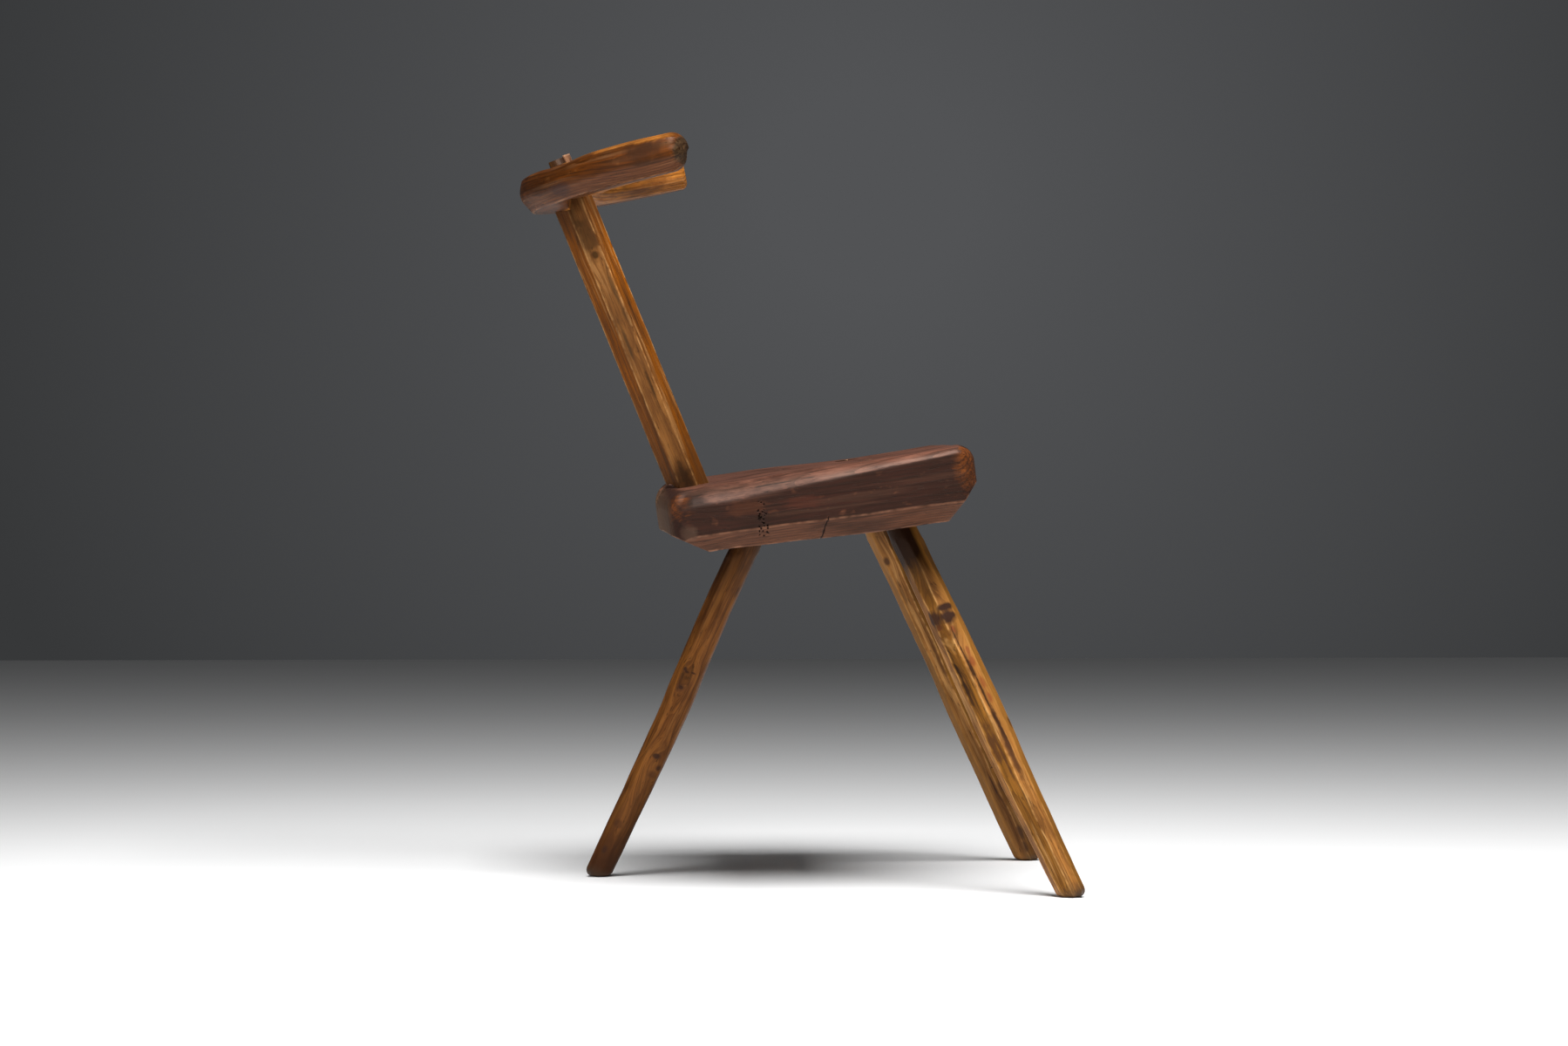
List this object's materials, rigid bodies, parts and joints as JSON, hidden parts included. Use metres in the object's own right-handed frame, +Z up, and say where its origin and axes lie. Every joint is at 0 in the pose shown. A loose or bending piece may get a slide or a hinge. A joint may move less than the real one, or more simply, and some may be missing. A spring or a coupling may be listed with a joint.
{
  "type": "tripod stool",
  "caption": "Rustic hewn tripod stool: a thick bevelled plank seat on splayed wedged legs, with a leaning octagonal back post carrying a crescent crest rail.",
  "frame": {"origin": "on the floor under the middle of the whole piece's bounding box", "axes": "+Z up; -Y is the way the sitter faces, so +Y is to the back; +X is the sitter's left"},
  "size_m": [0.4523, 0.5597, 0.7541],
  "materials": {
    "seat_wood": "dark waxed and worn",
    "leg_wood": "waxed, hewn",
    "post_wood": "waxed, hewn",
    "crest_wood": "waxed and worn",
    "wedge_wood": "bare, oiled by age"
  },
  "bodies": {
    "root": {"seat_plank": "seat_wood", "front_right_leg": "leg_wood", "front_left_leg": "leg_wood", "rear_leg": "leg_wood", "front_right_leg_wedge": "wedge_wood", "front_left_leg_wedge": "wedge_wood", "rear_leg_wedge": "wedge_wood", "back_post": "post_wood", "post_foot_wedge": "wedge_wood", "crest_rail": "crest_wood", "crest_wedge": "wedge_wood"}
  },
  "joints": []
}
